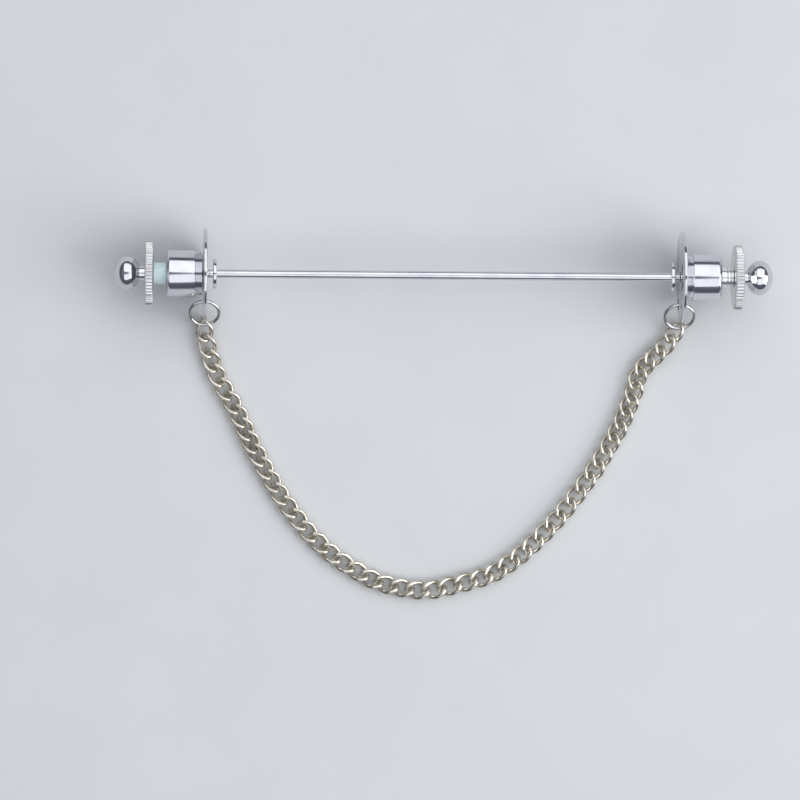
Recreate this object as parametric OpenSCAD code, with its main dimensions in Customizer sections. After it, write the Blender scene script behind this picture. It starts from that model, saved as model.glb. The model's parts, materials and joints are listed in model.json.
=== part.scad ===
// Collar bar with a curb chain, lying flat. X runs along the bar, the chain lies
// towards -Y, Z is up from the surface that the discs and the chain rest on.
// All sizes are in millimetres and all angles in degrees.

/* [Bar] */
// Clear length of the bar between its two stop flanges
bar_clear = 45.5; // [42:0.5:50]
// Diameter of the bar
bar_d = 0.87; // [0.7:0.01:1.1]
// Diameter of the stop flanges on the bar
flange_d = 3.05; // [2:0.05:4]
// Thickness of each stop flange
flange_t = 0.36; // [0.2:0.02:0.6]
// Length of the plain journal beyond each flange, where a disc turns
journal_len = 1; // [0.8:0.05:1.6]
// Diameter of the threaded stud at each end
stud_d = 0.8; // [0.6:0.01:0.86]
// Length of each threaded stud
stud_len = 7.4; // [6.2:0.1:8]

/* [Discs] */
// Diameter of the chain discs
disc_d = 9.1; // [8:0.1:10]
// Thickness of the chain discs
disc_t = 0.36; // [0.24:0.02:0.5]
// Diameter of the hole that a jump ring passes through
ring_hole_d = 1.2; // [0.9:0.05:1.6]
// Distance of that hole from the disc's centre
ring_hole_r = 3.34; // [2.8:0.02:3.6]
// Height of that hole above the surface, with the disc turned as it lies
ring_hole_height = 2.65; // [2.3:0.01:3]

/* [Barrels] */
// Diameter of the barrels
barrel_d = 4.7; // [4:0.05:5.5]
// Length of the barrels without their shoulder
barrel_len = 2.85; // [2:0.05:4]
// Radius of the rounding on each barrel's outer edge
barrel_round = 0.35; // [0.1:0.05:0.6]
// Diameter of the shoulder that faces the disc
shoulder_d = 4.3; // [3:0.05:5]
// Length of the shoulder
shoulder_len = 0.72; // [0.4:0.02:1.2]

/* [Sleeves] */
// Length of the sleeves between barrel and thumb screw
sleeve_len = 1.3; // [0.8:0.05:2]
// Diameter of the plain left sleeve
left_sleeve_d = 2.17; // [1.6:0.01:2.6]
// Diameter of the right sleeve
right_sleeve_d = 2; // [1.6:0.01:2.6]
// Depth of the thread grooves in the right sleeve
groove_depth = 0.13; // [0.06:0.01:0.25]
// Distance between the thread grooves
groove_pitch = 0.32; // [0.26:0.01:0.5]
// Number of thread grooves
grooves = 2; // [1:1:3]

/* [Thumb screws] */
// Diameter of the knurled wheel
wheel_d = 6.5; // [5:0.1:8]
// Thickness of the knurled wheel
wheel_t = 0.86; // [0.5:0.02:1.4]
// Number of teeth on the knurled wheel
wheel_teeth = 56; // [24:1:80]
// Depth of the knurling
tooth_depth = 0.13; // [0.05:0.01:0.25]
// Bevel on the wheel's edges
wheel_bevel = 0.12; // [0.05:0.01:0.2]
// Diameter of the neck between wheel and ball
neck_d = 1.5; // [1.2:0.05:2.4]
// Length of the neck that shows
neck_len = 0.4; // [0.2:0.05:1]
// Diameter of the ball across the bar
ball_d = 3.5; // [2.8:0.05:4.5]
// Length of the ball along the bar
ball_len = 2.7; // [2.2:0.05:4]

/* [Jump rings] */
// Outer diameter of the jump rings
ring_d = 3.35; // [3:0.01:4]
// Wire diameter of the jump rings
ring_wire = 0.39; // [0.3:0.01:0.5]
// Lean of the jump rings below level
ring_lean = 38.7; // [30:0.1:45]

/* [Chain] */
// Outer length of a link
link_len = 2.8; // [2.7:0.01:2.95]
// Outer width of a link
link_w = 2.03; // [1.95:0.01:2.15]
// Wire diameter of a link
link_wire = 0.46; // [0.36:0.01:0.48]
// Twist of a link from its middle to each end
link_twist = 50; // [46:1:54]

/* [Fits] */
// Radial gap between bar and disc
disc_slip = 0.1; // [0.05:0.01:0.2]
// Radial gap between stud and barrel or sleeve
stud_slip = 0.05; // [0.03:0.01:0.1]
// Radial gap between stud and thumb screw
thread_gap = 0.03; // [0.02:0.01:0.08]
// Gap between the end of each journal and the shoulder beside it
shoulder_gap = 0.07; // [0.03:0.01:0.15]
// Gap between each disc and the shoulder beside it
disc_gap = 0.1; // [0.05:0.01:0.2]
// Gap between sleeve and thumb screw
wheel_gap = 0.02; // [0.01:0.01:0.1]
// Space left between a stud's tip and the end of its blind hole
tip_gap = 0.2; // [0.1:0.05:0.4]

/* [Hidden] */
$fn = 96;
axis_z = disc_d / 2;
half_clear = bar_clear / 2;
stud_start = half_clear + flange_t + journal_len;
stud_tip = stud_start + stud_len;
shoulder_start = stud_start + shoulder_gap;
disc_x = shoulder_start - disc_gap - disc_t / 2;
barrel_end = shoulder_start + shoulder_len + barrel_len;
sleeve_end = barrel_end + sleeve_len;
wheel_start = sleeve_end + wheel_gap;

// Places in the Y-Z plane are measured from the axis of the bar first
hole_z = ring_hole_height;
hole_y = -sqrt(pow(ring_hole_r, 2) - pow(axis_z - hole_z, 2));
ring_mean_r = (ring_d - ring_wire) / 2;
ring_y = hole_y - ring_mean_r * cos(ring_lean);
ring_z = hole_z - ring_mean_r * sin(ring_lean);
low_y = hole_y - 2 * ring_mean_r * cos(ring_lean);

// The chain's route, chosen by hand. Places along X are in thousandths of the distance
// from the middle to a disc, so the loop opens with the bar. Each row is [distance below
// the rings' low wire, place of the left link, place of the right link].
rows = [
    [5.05, -946, 828], [6.45, -914, 814], [7.8, -881, 793], [9.15, -851, 770],
    [10.45, -826, 743], [11.75, -801, 713], [13.05, -772, 682], [14.35, -743, 649],
    [15.65, -711, 611], [16.95, -678, 571], [18.25, -640, 529], [19.5, -600, 485],
    [20.7, -559, 439], [21.85, -510, 391], [22.9, -460, 341], [23.85, -406, 289],
    [24.7, -347, 234]
];
// Links at the two ends and in the bottom of the loop, as [place, distance, height, roll]
flat_z = 0.56;
left_end = [[-1000, 0.45, 0.85, 27], [-987, 2.05, 0.8, 17], [-969, 3.55, 0.65, 11]];
bottom = [
    [-289, 25.45], [-226, 26], [-161, 26.35], [-94, 26.55],
    [-25, 26.5], [42, 26.15], [109, 25.75], [174, 25.3]
];
right_end = [
    [860, 3.8, 0.6, -8], [902, 2.8, 0.75, -10],
    [948, 1.65, 0.85, -23], [987, 0.35, 0.85, -33]
];
route = concat(
    left_end,
    [for (r = rows) [r[1], r[0], flat_z, 0]],
    [for (p = bottom) [p[0], p[1], flat_z, 0]],
    [for (i = [len(rows) - 1:-1:0]) [rows[i][2], rows[i][0], flat_z, 0]],
    right_end
);
links = len(route);

// The bar's axis sits where the middle of the whole outline is the origin
link_edge = max([for (p = route) p[1]]) + link_w / 2;
axis_y = (link_edge - low_y - disc_d / 2) / 2;

// Facets round the wire of a link and along it
link_sides = 6;
link_rings = 20;
// How far a cutter runs past a face, and how far the neck runs into the ball
cut = 1;
neck_sink = 0.15;

function link_name(n) = str("link_", n < 10 ? "0" : "", n);

function unit(v) = v / norm(v);
function link_place(n) =
    [route[n][0] / 1000 * disc_x, axis_y + low_y - route[n][1], route[n][2]];
function ring_low(side) = [side * disc_x, axis_y + low_y, hole_z - 2 * ring_mean_r * sin(ring_lean)];
function before(n) = n == 0 ? ring_low(-1) : link_place(n - 1);
function after(n) = n == links - 1 ? ring_low(1) : link_place(n + 1);

// Centre line of a link along X, flat in its middle and twisted left-handed at its ends
function link_point(t) =
    let (
        half_l = (link_len - link_wire) / 2,
        half_w = (link_w - link_wire) / 2,
        turn = -link_twist * cos(t)
    )
    [half_l * cos(t), half_w * sin(t) * cos(turn), half_w * sin(t) * sin(turn)];
function link_section(t) =
    let (
        p = link_point(t),
        along = unit(link_point(t + 1) - link_point(t - 1)),
        out = unit(p - (p * along) * along),
        across = cross(along, out)
    )
    [for (k = [0:link_sides - 1])
        let (s = 360 * k / link_sides)
        p + link_wire / 2 * (cos(s) * out + sin(s) * across)];

module curb_link() {
    points = [for (i = [0:link_rings - 1]) each link_section(360 * i / link_rings)];
    faces = [
        for (i = [0:link_rings - 1], k = [0:link_sides - 1])
            let (
                a = i * link_sides + k,
                b = i * link_sides + (k + 1) % link_sides,
                c = (i + 1) % link_rings * link_sides + (k + 1) % link_sides,
                d = (i + 1) % link_rings * link_sides + k
            )
            each [[a, b, c], [a, c, d]]
    ];
    polyhedron(points, faces);
}

// One link of the chain, turned along the route and rolled about its own length
module chain_link(n) {
    i = n - 1;
    run = unit(after(i) - before(i));
    color("lightgray")
    translate(link_place(i))
    rotate([route[i][3], -asin(run[2]), atan2(run[1], run[0])])
    curb_link();
}

// Places a shape drawn upwards along Z so that it runs outwards along the bar
module along_bar(side, start) {
    translate([side * start, axis_y, axis_z])
    rotate([0, side * 90, 0])
    children();
}

module bar() {
    color("silver") {
        translate([0, axis_y, axis_z])
        rotate([0, 90, 0])
        cylinder(h = bar_clear + 2 * (flange_t + journal_len), d = bar_d, center = true);
        for (side = [-1, 1]) {
            along_bar(side, half_clear) cylinder(h = flange_t, d = flange_d);
            along_bar(side, stud_start) cylinder(h = stud_len, d = stud_d);
        }
    }
}

module chain_disc(side) {
    color("silver")
    difference() {
        along_bar(side, disc_x - disc_t / 2) cylinder(h = disc_t, d = disc_d);
        along_bar(side, disc_x - disc_t) cylinder(h = 2 * disc_t, d = bar_d + 2 * disc_slip);
        translate([side * (disc_x - disc_t), axis_y + hole_y, hole_z])
        rotate([0, side * 90, 0])
        cylinder(h = 2 * disc_t, d = ring_hole_d);
    }
}

// Barrel turned with its shoulder, drilled through for the stud
module barrel(side) {
    total = shoulder_len + barrel_len;
    bore_r = stud_d / 2 + stud_slip;
    color("gainsboro")
    along_bar(side, shoulder_start)
    rotate_extrude()
    polygon(concat(
        [[bore_r, 0], [shoulder_d / 2, 0], [shoulder_d / 2, shoulder_len], [barrel_d / 2, shoulder_len]],
        [for (a = [0:15:90])
            [barrel_d / 2 - barrel_round * (1 - cos(a)), total - barrel_round * (1 - sin(a))]],
        [[bore_r, total]]
    ));
}

module left_sleeve() {
    color("lightcyan")
    along_bar(-1, barrel_end)
    difference() {
        cylinder(h = sleeve_len, d = left_sleeve_d);
        translate([0, 0, -cut]) cylinder(h = sleeve_len + 2 * cut, d = stud_d + 2 * stud_slip);
    }
}

// The right sleeve has a plain collar, then grooves that stand for its thread
module right_sleeve() {
    bore_r = stud_d / 2 + stud_slip;
    outer_r = right_sleeve_d / 2;
    color("whitesmoke")
    along_bar(1, barrel_end)
    rotate_extrude()
    polygon(concat(
        [[bore_r, 0], [outer_r, 0]],
        [for (g = [grooves:-1:1]) let (z = sleeve_len - g * groove_pitch) each [
            [outer_r, z - groove_pitch / 4], [outer_r - groove_depth, z], [outer_r, z + groove_pitch / 4]
        ]],
        [[outer_r, sleeve_len], [bore_r, sleeve_len]]
    ));
}

// Knurled wheel, neck and ball turned in one, with a blind hole for the stud
module thumb_screw(side) {
    hole_depth = stud_tip + tip_gap - wheel_start;
    color("silver")
    along_bar(side, wheel_start)
    difference() {
        union() {
            intersection() {
                linear_extrude(height = wheel_t) polygon(knurl_outline());
                rotate_extrude() polygon([
                    [0, 0], [wheel_d / 2 - wheel_bevel, 0], [wheel_d / 2, wheel_bevel],
                    [wheel_d / 2, wheel_t - wheel_bevel], [wheel_d / 2 - wheel_bevel, wheel_t], [0, wheel_t]
                ]);
            }
            translate([0, 0, wheel_t]) rotate_extrude() polygon(concat(
                [[0, 0], [neck_d / 2, 0], [neck_d / 2, neck_len + neck_sink]],
                [for (a = [-60:12:72]) [ball_d / 2 * cos(a), neck_len + ball_len / 2 * (1 + sin(a))]],
                [[0, neck_len + ball_len]]
            ));
        }
        translate([0, 0, -cut]) cylinder(h = cut + hole_depth, d = stud_d + 2 * thread_gap);
    }
}
function knurl_outline() = [
    for (i = [0:2 * wheel_teeth - 1])
        let (r = wheel_d / 2 - (i % 2) * tooth_depth, a = 180 * i / wheel_teeth)
        [r * cos(a), r * sin(a)]
];

module jump_ring(side) {
    color("silver")
    translate([side * disc_x, axis_y + ring_y, ring_z])
    rotate([ring_lean, 0, 0])
    rotate_extrude()
    translate([ring_mean_r, 0])
    circle(d = ring_wire, $fn = 32);
}

bar();
chain_disc(-1);  // left_disc
chain_disc(1);  // right_disc
barrel(-1);  // left_barrel
barrel(1);  // right_barrel
left_sleeve();
right_sleeve();
thumb_screw(-1);  // left_thumb_screw
thumb_screw(1);  // right_thumb_screw
jump_ring(-1);  // left_ring
jump_ring(1);  // right_ring
for (n = [1:links]) {
    chain_link(n);
}
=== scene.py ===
import json
import math

import bpy
from mathutils import Euler, Matrix, Vector

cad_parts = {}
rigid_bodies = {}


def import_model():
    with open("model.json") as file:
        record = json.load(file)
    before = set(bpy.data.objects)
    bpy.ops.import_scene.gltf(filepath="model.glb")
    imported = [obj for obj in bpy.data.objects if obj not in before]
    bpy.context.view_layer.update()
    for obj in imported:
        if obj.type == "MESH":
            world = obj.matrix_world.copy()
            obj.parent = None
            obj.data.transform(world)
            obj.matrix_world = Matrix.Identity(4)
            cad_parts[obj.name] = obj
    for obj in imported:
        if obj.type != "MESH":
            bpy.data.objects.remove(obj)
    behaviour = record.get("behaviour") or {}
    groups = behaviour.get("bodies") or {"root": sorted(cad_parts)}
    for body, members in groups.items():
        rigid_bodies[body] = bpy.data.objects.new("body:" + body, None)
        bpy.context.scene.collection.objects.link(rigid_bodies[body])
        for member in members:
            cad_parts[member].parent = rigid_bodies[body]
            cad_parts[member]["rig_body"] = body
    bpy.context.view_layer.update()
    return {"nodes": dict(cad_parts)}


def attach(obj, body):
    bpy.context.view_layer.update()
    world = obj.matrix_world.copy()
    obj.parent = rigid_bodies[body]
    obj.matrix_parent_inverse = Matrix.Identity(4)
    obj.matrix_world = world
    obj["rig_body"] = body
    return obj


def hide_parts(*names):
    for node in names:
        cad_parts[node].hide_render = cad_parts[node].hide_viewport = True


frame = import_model()
scene = bpy.context.scene

# The bar lies flat, seen from almost straight above and a touch from the left, so
# that higher things sit a little further right. A long lens keeps the loop of chain
# in true proportion, and the bar falls by less than half a degree to the right.
mm = 0.001
view_centre = Vector((-4.32, 1.55, 4.55)) * mm
view_lean = math.radians(2.75)
view_distance = 0.62
frame_width = 80 * mm
bar_fall = math.radians(0.4)
camera_data = bpy.data.cameras.new("overhead_camera")
camera_data.sensor_width = 36
camera_data.lens = camera_data.sensor_width * view_distance / frame_width
camera_data.clip_start = 10 * mm
camera = bpy.data.objects.new("overhead_camera", camera_data)
scene.collection.objects.link(camera)
back = Vector((-math.sin(view_lean), 0, math.cos(view_lean)))
camera.location = view_centre + view_distance * back
toward = (view_centre - camera.location).normalized()
right = Vector((math.cos(bar_fall), math.sin(bar_fall), 0))
right = (right - right.dot(toward) * toward).normalized()
up = right.cross(toward)
aim = Matrix((right, up, -toward)).transposed().to_4x4()
camera.matrix_world = Matrix.Translation(camera.location) @ aim
scene.camera = camera

# The surface under the bar is a pale, matt board, wide enough to fill the view from
# all but the lowest angles. A faint mottle keeps it from looking like an empty backdrop.
bpy.ops.object.select_all(action="DESELECT")
bpy.ops.mesh.primitive_grid_add(x_subdivisions=8, y_subdivisions=8, size=1.1)
board = bpy.context.object
board.name = "pale_board"
board_paint = bpy.data.materials.new("pale_board")
board_paint.use_nodes = True
nodes, links = board_paint.node_tree.nodes, board_paint.node_tree.links
board_shader = nodes["Principled BSDF"]
board_shader.inputs["Roughness"].default_value = 0.9
board_shader.inputs["Specular IOR Level"].default_value = 0.2
place = nodes.new("ShaderNodeTexCoord")
mottle = nodes.new("ShaderNodeTexNoise")
mottle.inputs["Scale"].default_value = 90
mottle.inputs["Detail"].default_value = 6
board_tone = nodes.new("ShaderNodeValToRGB")
board_tone.color_ramp.elements[0].color = (0.6, 0.61, 0.62, 1)
board_tone.color_ramp.elements[1].color = (0.65, 0.66, 0.67, 1)
links.new(place.outputs["Object"], mottle.inputs["Vector"])
links.new(mottle.outputs["Fac"], board_tone.inputs["Fac"])
links.new(board_tone.outputs["Color"], board_shader.inputs["Base Color"])
board.data.materials.append(board_paint)

# Soft boxes stand above, with a gap between them where the camera looks through.
# The gap gives the dark thread along the top of every turned piece, and the dim
# room between the boxes and the board gives the dark bands further down.
def soft_box(name, place, size, power):
    """A rectangular lamp that faces the middle of the board."""
    lamp = bpy.data.lights.new(name, "AREA")
    lamp.shape = "RECTANGLE"
    lamp.size, lamp.size_y = size
    lamp.energy = power
    box = bpy.data.objects.new(name, lamp)
    scene.collection.objects.link(box)
    box.location = place
    box.rotation_euler = (-Vector(place)).to_track_quat("-Z", "Y").to_euler()

soft_box("upper_box", (0.04, 0.323, 0.460), (0.9, 0.65), 2.15)
soft_box("lower_box", (0.04, -0.258, 0.555), (0.9, 0.445), 1.25)
soft_box("right_box", (0.5, -0.1, 0.33), (0.5, 0.45), 2.6)
room = bpy.data.worlds.new("dim_room")
scene.world = room
room.use_nodes = True
nodes, links = room.node_tree.nodes, room.node_tree.links
sky = nodes.new("ShaderNodeTexCoord")
split = nodes.new("ShaderNodeSeparateXYZ")
room_tone = nodes.new("ShaderNodeValToRGB")
# The tones run from the pale far floor up to the dim ceiling.
ramp = room_tone.color_ramp
ramp.elements[0].position = 0.06
ramp.elements[0].color = (0.62, 0.63, 0.65, 1)
ramp.elements[1].position = 0.7
ramp.elements[1].color = (0.2, 0.22, 0.26, 1)
ramp.elements.new(0.16).color = (0.1, 0.105, 0.12, 1)
ramp.elements.new(0.5).color = (0.12, 0.13, 0.16, 1)
links.new(sky.outputs["Generated"], split.inputs["Vector"])
links.new(split.outputs["Z"], room_tone.inputs["Fac"])
links.new(room_tone.outputs["Color"], nodes["Background"].inputs["Color"])
nodes["Background"].inputs["Strength"].default_value = 1
scene.view_settings.view_transform = "Standard"

# The bar is one rod of bright metal with a small stop flange near each end. It is
# turned, with a plain journal for the disc beyond each flange, and a thinner stud.
# Lengths here and below are in millimetres, and x runs outwards along the bar.
axis = Vector((0, 14.036, 4.55))
smooth_up_to = math.radians(32)

def turned(name, side, stations, sides=96, capped=False):
    """A ring of points drawn out round the bar's axis through stations of (x, radius)."""
    bpy.ops.object.select_all(action="DESELECT")
    x, r = stations[0]
    bpy.ops.mesh.primitive_circle_add(
        vertices=sides, radius=r * mm, fill_type="NOTHING",
        location=Vector((side * x, axis.y, axis.z)) * mm, rotation=(0, math.pi / 2, 0))
    piece = bpy.context.object
    piece.name = name
    bpy.ops.object.transform_apply(location=True, rotation=True, scale=True)
    bpy.ops.object.mode_set(mode="EDIT")
    bpy.ops.mesh.select_all(action="SELECT")
    for next_x, next_r in stations[1:]:
        step = (side * (next_x - x) * mm, 0, 0)
        bpy.ops.mesh.extrude_edges_move(TRANSFORM_OT_translate={"value": step})
        bpy.ops.transform.resize(
            value=(1, next_r / r, next_r / r),
            center_override=Vector((side * next_x, axis.y, axis.z)) * mm)
        x, r = next_x, next_r
    bpy.ops.mesh.select_all(action="SELECT")
    bpy.ops.mesh.remove_doubles(threshold=2e-7)
    if capped:
        bpy.ops.mesh.select_all(action="DESELECT")
        bpy.ops.mesh.select_non_manifold()
        bpy.ops.mesh.edge_face_add()
    bpy.ops.mesh.select_all(action="SELECT")
    bpy.ops.mesh.normals_make_consistent(inside=False)
    bpy.ops.object.mode_set(mode="OBJECT")
    bpy.ops.object.shade_smooth_by_angle(angle=smooth_up_to)
    return piece

bar_r, thread_root_r = 0.435, 0.34
stop_flange = [
    (22.7, bar_r), (22.74, 0.438), (22.75, 0.45), (22.75, 1.46), (22.79, 1.51), (22.85, 1.525),
    (23.01, 1.525), (23.07, 1.51), (23.11, 1.46), (23.11, bar_r)]
journal_end = [(24.05, bar_r), (24.11, 0.4), (24.2, thread_root_r)]
stud_tip = [(31.3, thread_root_r), (31.45, 0.25)]
rod_right = stop_flange + journal_end + stud_tip
rod_left = [(-x, r) for x, r in reversed(rod_right)]
rod = turned("bar_rod", 1, rod_left + rod_right, capped=True)

# All the metal shares one kind of fine wear: drifting smudges that dull it, hairline
# scratches, and a paler tone where an edge has been rubbed.
wear = bpy.data.node_groups.new("handling_marks", "ShaderNodeTree")
wear.interface.new_socket("Vector", in_out="INPUT", socket_type="NodeSocketVector")
for label in ("Smudge Size", "Clean Roughness", "Worn Roughness", "Edge Wear"):
    wear.interface.new_socket(label, in_out="INPUT", socket_type="NodeSocketFloat")
for label in ("Clean Color", "Dull Color", "Edge Color"):
    wear.interface.new_socket(label, in_out="INPUT", socket_type="NodeSocketColor")
wear.interface.new_socket("Color", in_out="OUTPUT", socket_type="NodeSocketColor")
for label in ("Roughness", "Height"):
    wear.interface.new_socket(label, in_out="OUTPUT", socket_type="NodeSocketFloat")
nodes, links = wear.nodes, wear.links
given, made = nodes.new("NodeGroupInput"), nodes.new("NodeGroupOutput")
smudge = nodes.new("ShaderNodeTexNoise")
smudge.inputs["Detail"].default_value = 5
smudge.inputs["Distortion"].default_value = 0.6
scratch = nodes.new("ShaderNodeTexNoise")
scratch.inputs["Scale"].default_value = 2600
scratch.inputs["Detail"].default_value = 3
stretch = nodes.new("ShaderNodeMapping")
stretch.inputs["Scale"].default_value = (1, 0.12, 0.12)
contrast = nodes.new("ShaderNodeMapRange")
contrast.inputs["From Min"].default_value = 0.38
contrast.inputs["From Max"].default_value = 0.68
rough = nodes.new("ShaderNodeMapRange")
tone = nodes.new("ShaderNodeMix")
tone.data_type = "RGBA"
form = nodes.new("ShaderNodeNewGeometry")
sharp = nodes.new("ShaderNodeMapRange")
sharp.inputs["From Min"].default_value = 0.52
sharp.inputs["From Max"].default_value = 0.6
patchy = nodes.new("ShaderNodeMath")
patchy.operation = "MULTIPLY"
amount = nodes.new("ShaderNodeMath")
amount.operation = "MULTIPLY"
rubbed = nodes.new("ShaderNodeMix")
rubbed.data_type = "RGBA"
links.new(given.outputs["Vector"], smudge.inputs["Vector"])
links.new(given.outputs["Smudge Size"], smudge.inputs["Scale"])
links.new(given.outputs["Vector"], stretch.inputs["Vector"])
links.new(stretch.outputs["Vector"], scratch.inputs["Vector"])
links.new(smudge.outputs["Fac"], contrast.inputs["Value"])
links.new(contrast.outputs["Result"], rough.inputs["Value"])
links.new(given.outputs["Clean Roughness"], rough.inputs["To Min"])
links.new(given.outputs["Worn Roughness"], rough.inputs["To Max"])
links.new(contrast.outputs["Result"], tone.inputs["Factor"])
links.new(given.outputs["Clean Color"], tone.inputs["A"])
links.new(given.outputs["Dull Color"], tone.inputs["B"])
links.new(form.outputs["Pointiness"], sharp.inputs["Value"])
links.new(sharp.outputs["Result"], patchy.inputs[0])
links.new(smudge.outputs["Fac"], patchy.inputs[1])
links.new(patchy.outputs["Value"], amount.inputs[0])
links.new(given.outputs["Edge Wear"], amount.inputs[1])
links.new(amount.outputs["Value"], rubbed.inputs["Factor"])
links.new(tone.outputs["Result"], rubbed.inputs["A"])
links.new(given.outputs["Edge Color"], rubbed.inputs["B"])
links.new(rubbed.outputs["Result"], made.inputs["Color"])
links.new(rough.outputs["Result"], made.inputs["Roughness"])
links.new(scratch.outputs["Fac"], made.inputs["Height"])

# Turned pieces keep faint rings from the lathe. They change with the distance along
# the bar and with the distance from its axis, and run evenly round it.
lathe = bpy.data.node_groups.new("lathe_rings", "ShaderNodeTree")
lathe.interface.new_socket("Vector", in_out="INPUT", socket_type="NodeSocketVector")
lathe.interface.new_socket("Height", in_out="OUTPUT", socket_type="NodeSocketFloat")
nodes, links = lathe.nodes, lathe.links
given, made = nodes.new("NodeGroupInput"), nodes.new("NodeGroupOutput")
from_axis = nodes.new("ShaderNodeVectorMath")
from_axis.operation = "SUBTRACT"
from_axis.inputs[1].default_value = axis * mm
across = nodes.new("ShaderNodeVectorMath")
across.operation = "MULTIPLY"
across.inputs[1].default_value = (0, 1, 1)
reach = nodes.new("ShaderNodeVectorMath")
reach.operation = "LENGTH"
split = nodes.new("ShaderNodeSeparateXYZ")
unrolled = nodes.new("ShaderNodeCombineXYZ")
rings = nodes.new("ShaderNodeTexNoise")
rings.noise_dimensions = "2D"
rings.inputs["Scale"].default_value = 5000
rings.inputs["Detail"].default_value = 2
links.new(given.outputs["Vector"], from_axis.inputs[0])
links.new(from_axis.outputs["Vector"], across.inputs[0])
links.new(across.outputs["Vector"], reach.inputs[0])
links.new(given.outputs["Vector"], split.inputs["Vector"])
links.new(split.outputs["X"], unrolled.inputs["X"])
links.new(reach.outputs["Value"], unrolled.inputs["Y"])
links.new(unrolled.outputs["Vector"], rings.inputs["Vector"])
links.new(rings.outputs["Fac"], made.inputs["Height"])

def metal(name, clean, dull, roughness, bump, smudge_size=400, edge_wear=0, lathe_marks=0):
    """Bright metal that goes from a clean tone and roughness to a dull one where it is smudged."""
    finish = bpy.data.materials.new(name)
    finish.use_nodes = True
    nodes, links = finish.node_tree.nodes, finish.node_tree.links
    shader = nodes["Principled BSDF"]
    shader.inputs["Metallic"].default_value = 1
    marks = nodes.new("ShaderNodeGroup")
    marks.node_tree = wear
    marks.inputs["Smudge Size"].default_value = smudge_size
    marks.inputs["Clean Roughness"].default_value = roughness[0]
    marks.inputs["Worn Roughness"].default_value = roughness[1]
    marks.inputs["Clean Color"].default_value = (*clean, 1)
    marks.inputs["Dull Color"].default_value = (*dull, 1)
    marks.inputs["Edge Wear"].default_value = edge_wear
    marks.inputs["Edge Color"].default_value = (0.8, 0.78, 0.73, 1)
    place = nodes.new("ShaderNodeTexCoord")
    relief = nodes.new("ShaderNodeBump")
    relief.inputs["Strength"].default_value = bump
    relief.inputs["Distance"].default_value = 0.01 * mm
    links.new(place.outputs["Object"], marks.inputs["Vector"])
    links.new(marks.outputs["Color"], shader.inputs["Base Color"])
    links.new(marks.outputs["Roughness"], shader.inputs["Roughness"])
    links.new(marks.outputs["Height"], relief.inputs["Height"])
    if lathe_marks:
        rings = nodes.new("ShaderNodeGroup")
        rings.node_tree = lathe
        both = nodes.new("ShaderNodeMath")
        both.operation = "MULTIPLY_ADD"
        both.inputs[1].default_value = lathe_marks
        links.new(place.outputs["Object"], rings.inputs["Vector"])
        links.new(rings.outputs["Height"], both.inputs[0])
        links.new(marks.outputs["Height"], both.inputs[2])
        links.new(both.outputs["Value"], relief.inputs["Height"])
    links.new(relief.outputs["Normal"], shader.inputs["Normal"])
    return finish

rod_metal = metal(
    "bright_rod", clean=(0.72, 0.73, 0.76), dull=(0.63, 0.64, 0.68),
    roughness=(0.07, 0.16), bump=0.12, edge_wear=0.5)
rod.data.materials.append(rod_metal)
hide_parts("bar")
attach(rod, "bar")

# Each stud has a fine thread cut into it, a true spiral that starts just beyond the
# journal. It is hidden until an end is unscrewed and drawn off.
thread_start, thread_pitch, thread_turns = 24.15, 0.25, 28
thread_foot_r = 0.335
thread_ridge = ((0.1, 0.063), (0.05, 0), (0.1, -0.063))

def thread(name, side):
    bpy.ops.object.select_all(action="DESELECT")
    bpy.ops.mesh.primitive_plane_add(size=mm, location=(0, 0, 0))
    piece = bpy.context.object
    piece.name = name
    bpy.ops.object.mode_set(mode="EDIT")
    bpy.ops.mesh.select_all(action="SELECT")
    bpy.ops.mesh.merge(type="CENTER")
    bpy.ops.transform.translate(value=(0, 0, thread_foot_r * mm))
    for along, outwards in thread_ridge:
        step = (along * mm, 0, outwards * mm)
        bpy.ops.mesh.extrude_vertices_move(TRANSFORM_OT_translate={"value": step})
    bpy.ops.object.mode_set(mode="OBJECT")
    winding = piece.modifiers.new("winding", "SCREW")
    winding.axis = "X"
    winding.screw_offset = thread_pitch * mm
    winding.iterations = thread_turns
    winding.steps = winding.render_steps = 40
    winding.use_merge_vertices = True
    winding.merge_threshold = 2e-7
    bpy.ops.object.modifier_apply(modifier="winding")
    low_end = thread_start if side > 0 else -thread_start - (thread_turns + 1) * thread_pitch
    piece.data.transform(Matrix.Translation(Vector((low_end, axis.y, axis.z)) * mm))
    bpy.ops.object.mode_set(mode="EDIT")
    bpy.ops.mesh.select_all(action="SELECT")
    bpy.ops.mesh.remove_doubles(threshold=2e-7)
    bpy.ops.mesh.normals_make_consistent(inside=False)
    bpy.ops.object.mode_set(mode="OBJECT")
    bpy.ops.object.shade_smooth_by_angle(angle=math.radians(25))
    piece.data.materials.append(rod_metal)
    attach(piece, "bar")

thread("left_stud_thread", -1)
thread("right_stud_thread", 1)

# Two discs of thin bright sheet stand on edge. Each is blanked, its rim eased, and
# drilled twice: in the middle for the bar and near the rim for the jump ring.
disc_middle = 23.9
disc_profile = [
    (23.72, 0.57), (23.72, 4.44), (23.75, 4.51), (23.8, 4.545), (disc_middle, 4.55),
    (24.0, 4.545), (24.05, 4.51), (24.08, 4.44), (24.08, 0.57), (24.05, 0.54),
    (23.75, 0.54), (23.72, 0.57)]
ring_hole, ring_hole_r = Vector((disc_middle, 11.2891, 2.65)), 0.6
disc_metal = metal(
    "polished_disc", clean=(0.68, 0.69, 0.72), dull=(0.6, 0.61, 0.65),
    roughness=(0.07, 0.16), bump=0.1, edge_wear=0.7, lathe_marks=0.8)

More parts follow.
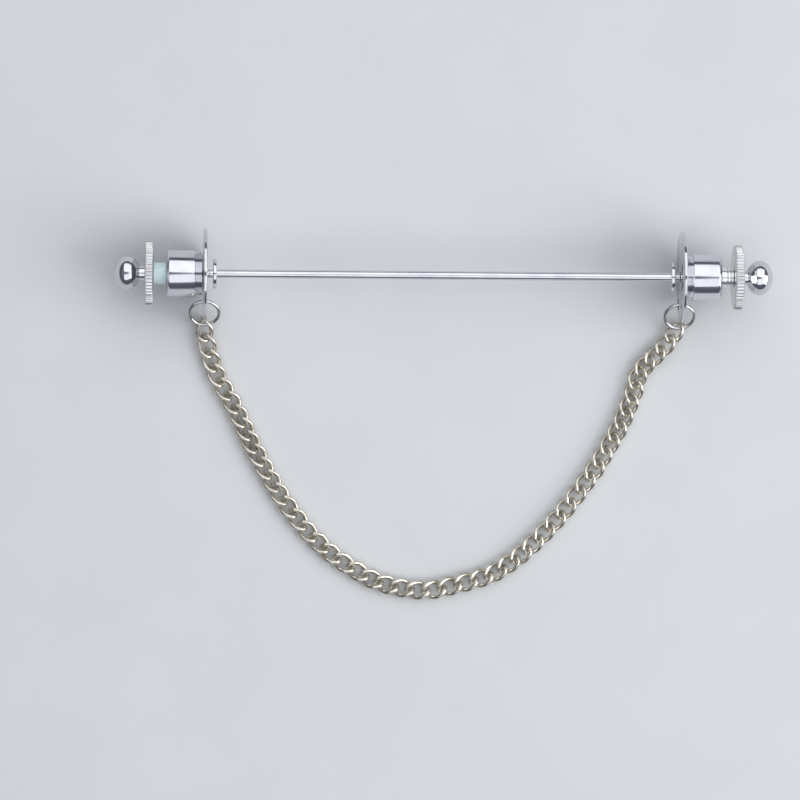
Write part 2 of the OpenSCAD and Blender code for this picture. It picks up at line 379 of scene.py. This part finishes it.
def disc(name, side, node, body):
    blank = turned(name, side, disc_profile, sides=160)
    bpy.ops.object.select_all(action="DESELECT")
    bpy.ops.mesh.primitive_cylinder_add(
        vertices=48, radius=ring_hole_r * mm, depth=2 * mm,
        location=Vector((side * ring_hole.x, ring_hole.y, ring_hole.z)) * mm,
        rotation=(0, math.pi / 2, 0))
    drill = bpy.context.object
    bpy.ops.object.transform_apply(location=True, rotation=True, scale=True)
    hole = blank.modifiers.new("ring_hole", "BOOLEAN")
    hole.operation = "DIFFERENCE"
    hole.solver = "EXACT"
    hole.object = drill
    bpy.ops.object.select_all(action="DESELECT")
    bpy.context.view_layer.objects.active = blank
    blank.select_set(True)
    bpy.ops.object.modifier_apply(modifier="ring_hole")
    bpy.data.objects.remove(drill)
    bpy.ops.object.shade_smooth_by_angle(angle=smooth_up_to)
    blank.data.materials.clear()
    blank.data.materials.append(disc_metal)
    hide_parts(node)
    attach(blank, body)

disc("left_chain_disc", -1, "left_disc", "left_disc")
disc("right_chain_disc", 1, "right_disc", "right_disc")

# The barrels are turned from bright rod: a body with a soft outer edge and a
# slightly smaller shoulder towards the disc. The bore slides on the stud.
barrel_end, barrel_r, barrel_round, round_steps = 27.75, 2.35, 0.35, 8
shoulder = [
    (24.18, 0.48), (24.18, 2.09), (24.2, 2.13), (24.24, 2.15), (24.86, 2.15), (24.9, 2.17),
    (24.9, 2.3), (24.92, 2.335), (24.96, barrel_r)]
round_angles = [math.pi / 2 * i / round_steps for i in range(round_steps + 1)]
soft_edge = [
    (barrel_end - barrel_round * (1 - math.sin(a)), barrel_r - barrel_round * (1 - math.cos(a)))
    for a in round_angles]
barrel_bore = [(barrel_end, 0.48), (27.72, 0.45), (24.21, 0.45), (24.18, 0.48)]
barrel_metal = metal(
    "polished_barrel", clean=(0.72, 0.73, 0.77), dull=(0.65, 0.66, 0.71),
    roughness=(0.09, 0.18), bump=0.1, edge_wear=0.7, lathe_marks=0.6)

def barrel(name, side, node, body):
    piece = turned(name, side, shoulder + soft_edge + barrel_bore, sides=144)
    piece.data.materials.append(barrel_metal)
    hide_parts(node)
    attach(piece, body)

barrel("left_end_barrel", -1, "left_barrel", "left_spacer")
barrel("right_end_barrel", 1, "right_barrel", "right_spacer")

# The left sleeve is a short tube of pale, faintly cyan plastic with eased rims. It
# lets a little light into itself and has a soft shine.
sleeve_start, sleeve_end, sleeve_bore_r = 27.76, 29.05, 0.46
tube_wall = [(27.79, 1.06), (27.85, 1.085), (28.97, 1.085), (29.02, 1.06)]
tube_rims = [(sleeve_end, 1.0), (sleeve_end, sleeve_bore_r), (sleeve_start, sleeve_bore_r)]
sleeve = turned(
    "pale_tube", -1,
    [(sleeve_start, sleeve_bore_r), (sleeve_start, 1.0)] + tube_wall + tube_rims)
pale_plastic = bpy.data.materials.new("pale_plastic")
pale_plastic.use_nodes = True
nodes, links = pale_plastic.node_tree.nodes, pale_plastic.node_tree.links
shader = nodes["Principled BSDF"]
shader.inputs["IOR"].default_value = 1.49
shader.inputs["Subsurface Weight"].default_value = 0.35
shader.inputs["Subsurface Radius"].default_value = (0.6, 1, 1)
shader.inputs["Subsurface Scale"].default_value = 0.4 * mm
place = nodes.new("ShaderNodeTexCoord")
cloud = nodes.new("ShaderNodeTexNoise")
cloud.inputs["Scale"].default_value = 1200
cloud.inputs["Detail"].default_value = 3
plastic_tone = nodes.new("ShaderNodeValToRGB")
plastic_tone.color_ramp.elements[0].color = (0.66, 0.86, 0.88, 1)
plastic_tone.color_ramp.elements[1].color = (0.8, 0.94, 0.955, 1)
gloss = nodes.new("ShaderNodeMapRange")
gloss.inputs["To Min"].default_value = 0.14
gloss.inputs["To Max"].default_value = 0.26
grain = nodes.new("ShaderNodeBump")
grain.inputs["Strength"].default_value = 0.2
grain.inputs["Distance"].default_value = 0.01 * mm
links.new(place.outputs["Object"], cloud.inputs["Vector"])
links.new(cloud.outputs["Fac"], plastic_tone.inputs["Fac"])
links.new(cloud.outputs["Fac"], gloss.inputs["Value"])
links.new(cloud.outputs["Fac"], grain.inputs["Height"])
links.new(grain.outputs["Normal"], shader.inputs["Normal"])
links.new(plastic_tone.outputs["Color"], shader.inputs["Base Color"])
links.new(gloss.outputs["Result"], shader.inputs["Roughness"])
sleeve.data.materials.append(pale_plastic)
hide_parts("left_sleeve")
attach(sleeve, "left_spacer")

# The right sleeve is white metal: a plain collar, then two grooves with rounded
# crests between them that look like thread.
collar_r = 1.0
groove_cut = [(-0.08, collar_r), (-0.04, 0.96), (0, 0.87), (0.04, 0.96), (0.08, collar_r)]
stations = [
    (sleeve_start, sleeve_bore_r), (sleeve_start, 0.94), (27.79, 0.98), (27.83, collar_r)]
for groove in (28.41, 28.73):
    stations += [(groove + along, r) for along, r in groove_cut]
stations += [
    (28.99, collar_r), (29.03, 0.98), (sleeve_end, 0.94),
    (sleeve_end, sleeve_bore_r), (sleeve_start, sleeve_bore_r)]
collar = turned("white_collar", 1, stations)
white_metal = metal(
    "white_metal", clean=(0.9, 0.9, 0.9), dull=(0.84, 0.84, 0.85),
    roughness=(0.22, 0.34), bump=0.15, lathe_marks=0.6)
collar.data.materials.append(white_metal)
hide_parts("right_sleeve")
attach(collar, "right_spacer")

# The thumb screws are turned in one: a coin-edged wheel, a short neck and a ball a
# little wider than it is long, with a blind hole for the stud.
wheel_teeth, tooth_depth, knurl_from_r = 56, 0.13, 3.0
points_per_tooth = 8
ball_centre, ball_half_length, ball_r = 31.68, 1.35, 1.75
tip_r = 0.02
blind_hole = [(31.71, tip_r), (31.71, 0.42), (31.6, 0.43), (29.12, 0.43), (29.07, 0.48)]
wheel_rim = [
    (29.07, 3.05), (29.08, 3.11), (29.13, 3.2), (29.19, 3.25),
    (29.81, 3.25), (29.87, 3.2), (29.92, 3.11), (29.93, 3.05)]
neck = [(29.93, 0.8), (29.95, 0.76), (30.0, 0.75), (30.46, 0.75)]
ball = [
    (ball_centre + ball_half_length * math.sin(a), ball_r * math.cos(a))
    for a in [math.radians(degrees) for degrees in range(-62, 89, 5)]]
ball_tip = [(ball_centre + ball_half_length, tip_r)]
screw_metal = metal(
    "polished_screw", clean=(0.72, 0.72, 0.74), dull=(0.63, 0.63, 0.66),
    roughness=(0.06, 0.15), bump=0.1, edge_wear=0.8, lathe_marks=0.5)

def thumb_screw(name, side, node, body):
    stations = blind_hole + wheel_rim + neck + ball + ball_tip
    piece = turned(name, side, stations, sides=points_per_tooth * wheel_teeth, capped=True)
    for v in piece.data.vertices:
        out = Vector((v.co.y - axis.y * mm, v.co.z - axis.z * mm))
        if out.length > knurl_from_r * mm:
            phase = (math.atan2(out.y, out.x) * wheel_teeth / (2 * math.pi)) % 1
            groove = 0.5 + 0.5 * math.cos(2 * math.pi * phase)
            out *= 1 - tooth_depth * mm * groove ** 1.5 / out.length
            v.co.y, v.co.z = axis.y * mm + out.x, axis.z * mm + out.y
    piece.data.materials.append(screw_metal)
    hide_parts(node)
    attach(piece, body)

thumb_screw("left_ball_screw", -1, "left_thumb_screw", "left_thumb")
thumb_screw("right_ball_screw", 1, "right_thumb_screw", "right_thumb")

# The jump rings are bent from bright round wire, with the cut ends pressed nearly
# together. Each hangs in its disc's hole and leans down to the first link.
ring_mean_r, ring_wire, ring_lean = 1.48, 0.39, math.radians(38.7)
wire_run = math.radians(358.4)
ring_metal = metal(
    "ring_wire", clean=(0.66, 0.66, 0.68), dull=(0.55, 0.55, 0.57),
    roughness=(0.1, 0.2), bump=0.2)

def jump_ring(name, side, node):
    bpy.ops.object.select_all(action="DESELECT")
    bpy.ops.mesh.primitive_circle_add(
        vertices=20, radius=ring_wire / 2 * mm, fill_type="NOTHING",
        location=(ring_mean_r * mm, 0, 0), rotation=(math.pi / 2, 0, 0))
    piece = bpy.context.object
    piece.name = name
    bpy.ops.object.transform_apply(location=True, rotation=True, scale=True)
    bpy.ops.object.mode_set(mode="EDIT")
    bpy.ops.mesh.select_all(action="SELECT")
    bpy.ops.mesh.spin(steps=96, angle=wire_run, center=(0, 0, 0), axis=(0, 0, 1))
    bpy.ops.mesh.select_all(action="DESELECT")
    bpy.ops.mesh.select_non_manifold()
    bpy.ops.mesh.edge_face_add()
    bpy.ops.mesh.select_all(action="SELECT")
    bpy.ops.mesh.normals_make_consistent(inside=False)
    bpy.ops.object.mode_set(mode="OBJECT")
    bpy.ops.object.shade_smooth_by_angle(angle=math.radians(40))
    lean = Matrix.Rotation(ring_lean, 4, "X")
    joint_turned_outwards = Matrix.Rotation(math.radians(-20 if side > 0 else 200), 4, "Z")
    middle = Vector((
        side * ring_hole.x,
        ring_hole.y - ring_mean_r * math.cos(ring_lean),
        ring_hole.z - ring_mean_r * math.sin(ring_lean)))
    piece.data.transform(Matrix.Translation(middle * mm) @ lean @ joint_turned_outwards)
    piece.data.materials.append(ring_metal)
    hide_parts(node)
    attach(piece, "rings")

jump_ring("left_jump_ring", -1, "left_ring")
jump_ring("right_jump_ring", 1, "right_ring")

# The chain has forty-nine links of fine twisted wire, warm silver in tone. One link
# is bent and twisted, and copied along the loop that the chain was laid out in.
link_len, link_w, link_wire, link_twist = 2.8, 2.03, 0.46, 50
flat_height = 0.56
ring_low = Vector((disc_middle, 8.979, 0.7993))
# The route is listed. A row is the distance from the rings' low wire, then the
# left and the right link there, in thousandths of the way from the middle to a disc.
rows = [
    (5.05, -946, 828), (6.45, -914, 814), (7.8, -881, 793),
    (9.15, -851, 770), (10.45, -826, 743), (11.75, -801, 713),
    (13.05, -772, 682), (14.35, -743, 649), (15.65, -711, 611),
    (16.95, -678, 571), (18.25, -640, 529), (19.5, -600, 485),
    (20.7, -559, 439), (21.85, -510, 391), (22.9, -460, 341),
    (23.85, -406, 289), (24.7, -347, 234)]
bottom = [
    (-289, 25.45), (-226, 26), (-161, 26.35), (-94, 26.55),
    (-25, 26.5), (42, 26.15), (109, 25.75), (174, 25.3)]
# The whole route gives each link's place, distance, height and roll in degrees.
route = [(-1000, 0.45, 0.85, 27), (-987, 2.05, 0.8, 17), (-969, 3.55, 0.65, 11)]
route += [(left, low, flat_height, 0) for low, left, right in rows]
route += [(place, low, flat_height, 0) for place, low in bottom]
route += [(right, low, flat_height, 0) for low, left, right in reversed(rows)]
route += [
    (860, 3.8, 0.6, -8), (902, 2.8, 0.75, -10),
    (948, 1.65, 0.85, -23), (987, 0.35, 0.85, -33)]
centres = [Vector((x / 1000 * ring_low.x, ring_low.y - low, high)) for x, low, high, roll in route]
neighbours = [Vector((-ring_low.x, ring_low.y, ring_low.z))] + centres + [ring_low]

bpy.ops.object.select_all(action="DESELECT")
bpy.ops.curve.primitive_bezier_circle_add(radius=1)
bent = bpy.context.object
bent.scale = ((link_len - link_wire) / 2 * mm, (link_w - link_wire) / 2 * mm, 1)
bpy.ops.object.transform_apply(location=True, rotation=True, scale=True)
# Applying the scale has thinned the wire at each point, so it is set back.
for point in bent.data.splines[0].bezier_points:
    point.radius = 1
bent.data.dimensions = "3D"
bent.data.resolution_u = 14
bent.data.bevel_depth = link_wire / 2 * mm
bent.data.bevel_resolution = 5
bpy.ops.object.convert(target="MESH")
bent = bpy.context.object
twisting = bent.modifiers.new("twist", "SIMPLE_DEFORM")
twisting.deform_method = "TWIST"
twisting.deform_axis = "X"
twisting.angle = math.radians(-link_twist * link_len / (link_len - link_wire) * 2)
bpy.ops.object.modifier_apply(modifier="twist")
bpy.ops.object.shade_smooth()
chain_metal = metal(
    "chain_wire", clean=(0.76, 0.72, 0.64), dull=(0.58, 0.54, 0.46),
    roughness=(0.14, 0.28), bump=0.25, smudge_size=700)
bent.data.materials.append(chain_metal)
for i, centre in enumerate(centres):
    node = f"link_{i + 1:02d}"
    roll = math.radians(route[i][3])
    run = (neighbours[i + 2] - neighbours[i]).normalized()
    heading = Euler((roll, -math.asin(run.z), math.atan2(run.y, run.x)), "XYZ")
    link = bpy.data.objects.new(f"curb_{node}", bent.data.copy())
    scene.collection.objects.link(link)
    link.data.transform(Matrix.Translation(centre * mm) @ heading.to_matrix().to_4x4())
    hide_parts(node)
    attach(link, frame["nodes"][node]["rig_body"])
bpy.data.objects.remove(bent)
